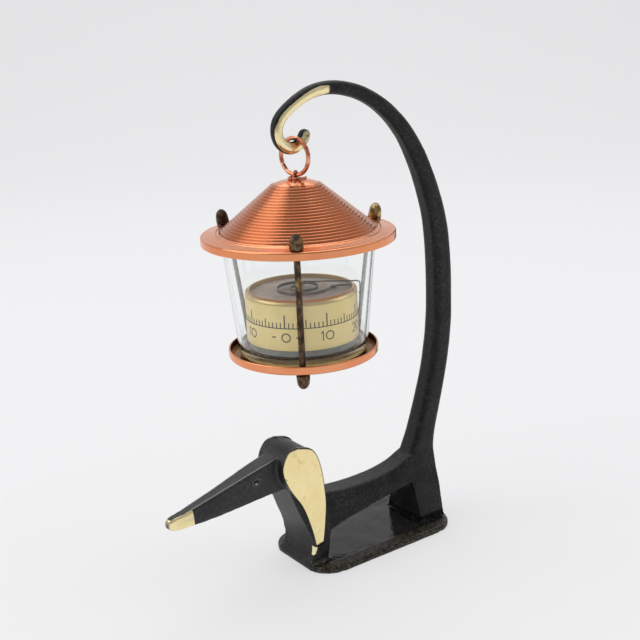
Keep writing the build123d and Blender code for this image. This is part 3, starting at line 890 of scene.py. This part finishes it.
def tray_dish():
    """Spun dish with a rounded floor corner and a rolled lip, brown inside."""
    radius = (TRAY_HIGH.x - TRAY_LOW.x) / 2
    low = TRAY_LOW.z
    high = TRAY_HIGH.z
    sheet = 0.7
    points = [(0, low), (radius - 0.9, low)]
    points += arc((radius - 0.9, low + 0.9), 0.9, -90, 0, 6)
    points += arc((radius - sheet / 2, high - sheet / 2), sheet / 2, 0, 180, 8)
    points += [(radius - sheet, low + sheet + 0.6), (radius - sheet - 0.18, low + sheet + 0.18)]
    points += [(radius - sheet - 0.6, low + sheet), (0, low + sheet)]
    mesh = lathe_mesh("tray_dish", points, 144)
    places = mesh_places(mesh)[0]
    paint(mesh, "inside", (places[:, 2] > low + 0.5) & (from_axis(places) < radius - sheet * 0.75))
    link("tray_dish", mesh, "lantern", COPPER, "tray")


def glass_tumbler():
    """Tapered glass with a thin wall, a thick, slightly hazy floor and a foot with a painted gold-brown
    reflection.
    """
    top_r = (GLASS_HIGH.x - GLASS_LOW.x) / 2
    low = GLASS_LOW.z
    high = GLASS_HIGH.z
    foot_r = top_r - 4.1
    wall = 0.8
    lip = 0.3
    floor = low + 3.2
    outer_r = 2.4
    inner_r = 1.6
    points = [(0, low), (foot_r - outer_r, low)]
    points += arc((foot_r - outer_r, low + outer_r), outer_r, -90, -5, 8)
    clear_from = floor + 1.5
    share = (clear_from - low - 2.2) / (high - low - 2.5)
    points += [(foot_r + (top_r - foot_r) * share, clear_from), (top_r, high - lip), (top_r - lip, high)]
    points += [(top_r - wall + lip, high), (top_r - wall, high - lip)]
    points += arc((foot_r - wall - inner_r, floor + inner_r), inner_r, -5, -90, 8)
    points += [(0, floor)]
    mesh = lathe_mesh("glass_tumbler", points, 288)
    height = mesh_places(mesh)[0][:, 2]
    paint(mesh, "haze", 1 - soft_step(height, floor - 0.1, floor + 1.4))
    # Painted reflection: the foot and its rounded corner are tinted gold-brown.
    paint(mesh, "painted_foot_reflection", 1 - soft_step(height, low + 2.5, low + 4.0))
    link("glass_tumbler", mesh, "lantern", GLASS, "glass")


roof_shell()
tray_dish()
glass_tumbler()


# ---------- tie rods and nuts


FIRST_ROD_ANGLE = 114.2


def rod_axes():
    """The foot and the head of each tie rod in millimetres, read from the CAD rods."""
    places = mesh_places(NODES["tie_rods"].data)[0]
    angles = np.degrees(np.arctan2(places[:, 1], places[:, 0] - AXIS_X))
    axes = []
    for turn in (0, 120, 240):
        apart = np.abs((angles - FIRST_ROD_ANGLE - turn + 180) % 360 - 180)
        cloud = places[apart < 30]
        half = (cloud[:, 2].min() + cloud[:, 2].max()) / 2
        low = cloud[cloud[:, 2] < half].mean(0)
        high = cloud[cloud[:, 2] >= half].mean(0)
        axes.append((Vector(low), Vector(high)))
    return axes


def span_on_rod(node, axis):
    """How far along a rod its nut starts and ends, measured from the rod's foot."""
    foot, head = axis
    direction = (head - foot).normalized()
    places = mesh_places(NODES[node].data)[0] - np.array(foot)
    along = places @ np.array(direction)
    away = np.linalg.norm(places - along[:, None] * np.array(direction), axis=1)
    reach = along[away < 4]
    return float(reach.min()), float(reach.max())


def joined(name, meshes):
    """One mesh from several."""
    verts = []
    faces = []
    for mesh in meshes:
        start = len(verts)
        verts += [v.co / MM for v in mesh.vertices]
        faces += [tuple(start + i for i in f.vertices) for f in mesh.polygons]
    return mesh_from(name, verts, faces)


def nut_mesh(seat, outward, height):
    """Worn hexagon cap nut: six softened flats under a tapered dome."""
    flats = 4.3
    steps = 72
    side = outward.orthogonal().normalized()
    up = outward.cross(side)
    profile = [(0.0, 0.97), (0.12, 1.0), (0.3, 0.985), (0.5, 0.95), (0.62, 0.91), (0.72, 0.83)]
    profile += [(0.82, 0.70), (0.90, 0.54), (0.96, 0.34), (0.99, 0.15)]
    verts = []
    round_r = flats / 2 * 1.04
    for rise, width in profile:
        hexagonal = max(0.0, 1 - rise / 0.9)
        for angle in round_angles(steps):
            turn = (angle + math.pi / 6) % (math.pi / 3) - math.pi / 6
            corner_r = min(flats / 2 / math.cos(turn), round_r * 1.06)
            radius = (corner_r * hexagonal + round_r * (1 - hexagonal)) * width
            across = side * math.cos(angle) + up * math.sin(angle)
            verts.append(seat + outward * (rise * height) + across * radius)
    faces = [tuple(range(steps))]
    last = (len(profile) - 1) * steps
    for start in range(0, last, steps):
        faces += quads(range(start, start + steps), range(start + steps, start + 2 * steps))
    verts.append(seat + outward * height)
    for k in range(steps):
        faces.append((last + k, last + (k + 1) % steps, len(verts) - 1))
    return mesh_from("nut", verts, faces)


def rods_and_nuts():
    """Three slightly uneven rods, each with a nut on the roof and one under the tray."""
    tones = (0.12, 0.45, 0.88)
    rod_r = 1.1
    count = 60
    bars = []
    tops = []
    feet = []
    for foot, head in rod_axes():
        direction = (head - foot).normalized()
        path = [foot.lerp(head, i / count) for i in range(count + 1)]
        uneven = [noise.noise(Vector((i * 0.35, foot.x, foot.y))) for i in range(count + 1)]
        bars.append(tube_mesh("bar", path, [rod_r * (1 + 0.015 * u) for u in uneven], 20))
        near, far = span_on_rod("top_cap_nuts", (foot, head))
        tops.append(nut_mesh(foot + direction * near, direction, far - near))
        near, far = span_on_rod("bottom_cap_nuts", (foot, head))
        feet.append(nut_mesh(foot + direction * far, -direction, far - near))
    dull = (0.35,) * 3
    sets = [("rod_bars", bars, dull, "tie_rods"), ("roof_nuts", tops, tones, "top_cap_nuts")]
    for name, meshes, shades, node in [*sets, ("tray_nuts", feet, dull, "bottom_cap_nuts")]:
        mesh = joined(name, meshes)
        paint(mesh, "tone", np.repeat(shades, [len(part.vertices) for part in meshes]))
        link(name, mesh, "lantern", DARK_BRASS, node)


rods_and_nuts()


# ---------- thermometer drum

DRUM_R = (BAND_HIGH.x - BAND_LOW.x) / 2
DRUM_TOP = CASE_HIGH.z
ZERO_ANGLE = 218.0
DEGREE_STEP = 4.2


def turned_piece(name, corners, edge_r, dressing, node):
    """A turned ring of the lantern, from the corners of its section."""
    link(name, lathe_mesh(name, round_profile(corners, edge_r), 144, True), "lantern", dressing, node)


def drum():
    """The drum's case with its rounded lip, the scale band, the grey foot and the dial plate."""
    shoulder = BAND_HIGH.z + 0.1
    lip_r = DRUM_R - 1.6
    case_r = DRUM_R - 0.25
    floor = CASE_LOW.z
    points = [(0, floor), (case_r - 0.3, floor), (case_r, floor + 0.3), (case_r, shoulder - 0.12)]
    points += [(DRUM_R - 0.16, shoulder - 0.05), (DRUM_R, shoulder + 0.12)]
    points += arc((lip_r, DRUM_TOP - 1.6), 1.6, 5, 88, 9)
    points += [(lip_r - 0.12, DRUM_TOP - 0.1), (lip_r - 0.12, DISH_LOW.z), (case_r - 0.6, DISH_LOW.z - 0.2)]
    points += [(case_r - 0.6, floor + 0.6), (0, floor + 0.6)]
    link("case_cup", lathe_mesh("case_cup", points, 160), "lantern", GILT, "drum_case")
    inner = DRUM_R - 0.25
    foil = [(DRUM_R, BAND_LOW.z), (DRUM_R, BAND_HIGH.z), (inner, BAND_HIGH.z), (inner, BAND_LOW.z)]
    turned_piece("foil_band", foil, 0.08, BAND, "scale_band")
    foot_r = (FOOT_HIGH.x - FOOT_LOW.x) / 2
    bore = foot_r - 4.2
    foot = [(foot_r, FOOT_LOW.z), (foot_r, FOOT_HIGH.z), (bore, FOOT_HIGH.z), (bore, FOOT_LOW.z)]
    turned_piece("foot_ring", foot, 0.35, GREY, "drum_foot")
    plate_r = (DISH_HIGH.x - DISH_LOW.x) / 2 - 0.13
    top = DISH_HIGH.z
    plate = [(2.0, DISH_LOW.z), (2.0, top), (4.2, top), (4.35, top - 0.08), (11.6, top - 0.08), (11.8, top)]
    plate += [(plate_r - 1.0, top), (plate_r - 0.8, top + 0.1), (plate_r, top + 0.1), (plate_r, DISH_LOW.z)]
    turned_piece("dish_plate", plate, 0.1, SILVER_WITH_PAINTED_LIGHT, "dial_dish")


def on_band(along, height, radius):
    """A point on the drum's side, given by its distance round the band from the zero mark and its height."""
    angle = math.radians(ZERO_ANGLE) + along / DRUM_R
    return Vector((AXIS_X + radius * math.cos(angle), radius * math.sin(angle), height))


class Ink:
    """Collects printed strokes as thin solid ribbons wrapped on the band."""

    def __init__(self):
        self.verts = []
        self.faces = []

    def stroke(self, points, width, closed=False):
        """A ribbon of even width with mitred corners, along points given round the band and up."""
        line = [Vector(p) for p in points]
        count = len(line)
        start = len(self.verts)
        for i in range(count):
            ahead = line[(i + 1) % count] if closed or i + 1 < count else line[i]
            behind = line[i - 1] if closed or i > 0 else line[i]
            first = (line[i] - behind).normalized()
            second = (ahead - line[i]).normalized()
            direction = (first + second).normalized()
            across = Vector((-direction.y, direction.x))
            stretch = 1 / max(0.5, direction.dot(first if first.length else second))
            for edge in (-1, 1):
                spot = line[i] + across * (edge * width / 2 * stretch)
                self.verts.append(on_band(spot.x, spot.y, DRUM_R - 0.05))
                self.verts.append(on_band(spot.x, spot.y, DRUM_R + 0.035))
        spans = count if closed else count - 1
        for i in range(spans):
            a = start + i * 4
            b = start + ((i + 1) % count) * 4
            for p, q in ((0, 1), (1, 3), (3, 2), (2, 0)):
                self.faces.append((a + p, a + q, b + q, b + p))
        if not closed:
            end = start + (count - 1) * 4
            self.faces.append((start, start + 1, start + 3, start + 2))
            self.faces.append((end, end + 1, end + 3, end + 2))


def numeral(character):
    """Strokes of one figure, three units high, with how wide it is."""
    figures = {
        "0": ([arc((0, 1.5), 1.38, 0, 345, 23)], 3.1),
        "1": ([[(-0.62, 2.3), (0.12, 3.0), (0.12, 0)]], 1.9),
        "2": ([arc((0, 2.05), 0.95, 170, -35) + [(-1.0, 0), (1.05, 0)]], 2.6),
        "3": ([arc((0, 2.25), 0.75, 150, -90) + arc((0, 0.8), 0.85, 75, -150)], 2.4),
        "4": ([[(0.4, 0), (0.4, 3.0), (-1.0, 0.85), (1.0, 0.85)]], 2.6),
        "5": ([[(0.9, 3.0), (-0.65, 3.0), (-0.8, 1.75)] + arc((0, 0.98), 0.98, 125, -145)], 2.5),
        "-": ([[(-0.7, 1.55), (0.7, 1.55)]], 2.6),
        "+": ([[(-0.7, 1.55), (0.7, 1.55)], [(0, 0.85), (0, 2.25)]], 2.6),
    }
    return figures[character]


def scale_print():
    """Ticks at every degree, the arc under them, the tens, and the zero between its two signs."""
    ink = Ink()
    base = DRUM_TOP - 9.4
    step = math.radians(DEGREE_STEP) * DRUM_R
    for degree in range(-30, 51):
        tall = 4.5 if degree % 10 == 0 else 2.9 if degree % 5 == 0 else 1.8
        width = 0.44 if degree % 10 == 0 else 0.36
        ink.stroke([(degree * step, base), (degree * step, base + tall)], width)
    ends = 1.5
    count = 240
    first = (-30 - ends) * step
    length = (80 + 2 * ends) * step
    ink.stroke([(first + length * i / count, base - 0.12) for i in range(count + 1)], 0.32)
    foot = base - 4.95
    size = 3.15 / 3

    def figure(character, middle, width):
        for points in numeral(character)[0]:
            ink.stroke([(middle + x * size, foot + z * size) for x, z in points], width, character == "0")

    for degree in (-30, -20, -10, 10, 20, 30, 40, 50):
        word = str(abs(degree))
        advances = [numeral(character)[1] * size for character in word]
        pen = degree * step - sum(advances) / 2
        for character, advance in zip(word, advances):
            figure(character, pen + advance / 2, 0.38)
            pen += advance
    for character, middle in (("-", -4.1), ("0", 0.35), ("+", 4.6)):
        figure(character, middle, 0.42)
    link("scale_ink", mesh_from("scale_ink", ink.verts, ink.faces, False), "lantern", INK)


def pointer_angle():
    """Direction of the CAD hand round the lantern's axis."""
    places = mesh_places(NODES["pointer"].data)[0]
    reach = from_axis(places)
    tip = places[reach > reach.max() - 1.5].mean(0)
    return math.atan2(tip[1], tip[0] - AXIS_X)


def pointer_hand():
    """Wire hand bent over the drum's edge, with a bead, and its flattened eye on the arbor."""
    low, high = mm_box("pointer")
    wire_r = 0.24
    hub_half = 0.28
    level = high.z - hub_half
    angle = pointer_angle()
    outward = Vector((math.cos(angle), math.sin(angle), 0))
    reach = 20.9
    bend_r = 0.9

    def place(out, z):
        return Vector((AXIS_X, 0, z)) + outward * out

    path = [place(out, level) for out in (1.2, 6, 12, 17, reach - 1.2)]
    path += [place(out, z) for out, z in arc((reach - bend_r, level - bend_r), bend_r, 65, 15, 2)]
    path += [place(reach, level - drop) for drop in (1.6, 3.4, 4.2)]
    path += [place(reach - 0.22, level - 6.5), place(reach - 0.38, low.z + 0.1)]
    curve = catmull(path, 8)
    wire = tube_mesh("wire", curve, [wire_r] * len(curve), 12)
    bead_path = [place(reach, level - 4.2 + 0.6 * k / 8) for k in range(-8, 9)]
    bead_radii = [0.52 * math.sqrt(max(0.05, 1 - (k / 8.3) ** 2)) for k in range(-8, 9)]
    bead = tube_mesh("bead", bead_path, bead_radii, 16)
    hub_points = [(0.92, level - hub_half), (1.5, level - hub_half), (1.5, high.z), (0.92, high.z)]
    hub = lathe_mesh("hub", round_profile(hub_points, 0.12), 48, True)
    mesh = joined("hand_wire", [wire, bead, hub])
    link("hand_wire", mesh, "pointer", HAND_WIRE, "pointer")
    tip = ARBOR_HIGH.z
    spindle = [(0, ARBOR_LOW.z), (0.9, ARBOR_LOW.z), (0.9, tip - 1.3), (0.16, tip - 0.05), (0, tip)]
    link("spindle", lathe_mesh("spindle", spindle, 40), "pointer", BRASS, "arbor")


drum()
scale_print()
pointer_hand()


# ---------- carried-over CAD pieces

CARRIED = {
    "eye_washer": DARK_BRASS,
    "arbor_bush": BRASS,
    "footstep_bearing": BRASS,
    "coil_anchor": STRIP,
    "bimetal_coil": STRIP,
    "pointer_collet": BRASS,
}

for name, dressing in CARRIED.items():
    node = NODES[name]
    node.data.materials.clear()
    node.data.materials.append(dressing)
    edge = node.modifiers.new("worn_edge", "BEVEL")
    edge.width = 0.00008
    edge.segments = 2
    edge.limit_method = "ANGLE"


# ---------- studio

PAPER_GLOW = 0.52
ROOM_BRIGHT = 0.62
ROOM_DIM = 0.30
ROOM_SEEN = 0.84
CAMERA_PLACE = Vector((-0.234065, -0.306761, 0.201534))
CAMERA_YAW = math.radians(-35.305)
CAMERA_PITCH = math.radians(16.398)
CAMERA_ROLL = math.radians(2.465)
CAMERA_LENS = 61.3


def floor_and_backdrop():
    """A pale sweep: flat floor that curves up behind the object."""
    depth = 1.4
    rise = 1.2
    bend = 0.5
    reach = 4.0
    profile = [(-reach, 0.0), *arc((depth - bend, bend), bend, -90, 0), (depth, rise)]
    verts = [(across, along, height) for across in (-reach, reach) for along, height in profile]
    count = len(profile)
    faces = [(i, i + 1, count + i + 1, count + i) for i in range(count - 1)]
    mesh = bpy.data.meshes.new("sweep")
    mesh.from_pydata(verts, [], faces)
    mesh.shade_smooth()
    sweep = placed("sweep", mesh)
    sweep.rotation_euler = (0, 0, CAMERA_YAW)
    made, tree, shader = material("paper")
    feed(tree, shader, "Base Color", (0.34, 0.34, 0.345))
    feed(tree, shader, "Roughness", 0.9)
    feed(tree, shader, "Specular IOR Level", 0.0)
    feed(tree, shader, "Emission Color", (1.0, 1.0, 1.01))
    feed(tree, shader, "Emission Strength", PAPER_GLOW)
    mesh.materials.append(made)


def camera():
    data = bpy.data.cameras.new("camera")
    data.lens = CAMERA_LENS
    data.sensor_width = 36
    data.clip_start = 0.01
    view = placed("camera", data)
    view.matrix_world = (
        Matrix.Translation(CAMERA_PLACE)
        @ Matrix.Rotation(CAMERA_YAW, 4, "Z")
        @ Matrix.Rotation(math.pi / 2 - CAMERA_PITCH, 4, "X")
        @ Matrix.Rotation(-CAMERA_ROLL, 4, "Z")
    )
    bpy.context.scene.camera = view


def softbox(name, place, target, width, height, power):
    data = bpy.data.lights.new(name, "AREA")
    data.shape = "RECTANGLE"
    data.size = width
    data.size_y = height
    data.energy = power
    lamp = placed(name, data)
    lamp.location = place
    aim = Vector(target) - Vector(place)
    lamp.rotation_euler = aim.to_track_quat("-Z", "Y").to_euler()
    return lamp


def studio_place(side, ahead, height):
    """A point given as seen by the camera: to its right, away from it, and up."""
    right = Vector((math.cos(CAMERA_YAW), math.sin(CAMERA_YAW), 0))
    away = Vector((-math.sin(CAMERA_YAW), math.cos(CAMERA_YAW), 0))
    return right * side + away * ahead + Vector((0, 0, height))


def surroundings():
    """A pale room, dimmer on the camera's side, but evenly bright where the camera itself sees it."""
    world = bpy.data.worlds.new("studio")
    bpy.context.scene.world = world
    world.use_nodes = True
    tree = world.node_tree
    place = tree.nodes.new("ShaderNodeTexCoord")
    towards = tree.nodes.new("ShaderNodeVectorMath")
    towards.operation = "DOT_PRODUCT"
    towards.inputs[1].default_value = (math.sin(CAMERA_YAW) * 0.9, -math.cos(CAMERA_YAW) * 0.9, -0.3)
    tree.links.new(place.outputs["Generated"], towards.inputs[0])
    level = add_node(tree, "ShaderNodeMapRange", From_Min=-0.2, From_Max=0.8)
    inputs = {"To Min": ROOM_BRIGHT, "To Max": ROOM_DIM, "Value": towards.outputs["Value"]}
    for place, value in inputs.items():
        feed(tree, level, place, value)
    seen = tree.nodes.new("ShaderNodeLightPath").outputs["Is Camera Ray"]
    unseen = times(tree, minus(tree, 1.0, seen), level.outputs["Result"])
    strength = plus(tree, unseen, times(tree, seen, ROOM_SEEN))
    feed(tree, tree.nodes["Background"], "Strength", strength)
    feed(tree, tree.nodes["Background"], "Color", (0.97, 0.98, 1.0))


def lights():
    target = (0, 0, 0.09)
    softbox("key", studio_place(-0.85, -0.25, 0.75), target, 1.0, 1.0, 4.5)
    softbox("fill", studio_place(0.95, -0.05, 0.55), target, 0.7, 1.1, 2.0).visible_glossy = False
    softbox("top", studio_place(0.0, 0.40, 1.1), target, 1.1, 1.1, 5.0)


floor_and_backdrop()
camera()
lights()
surroundings()
bpy.context.scene.view_settings.view_transform = "Standard"
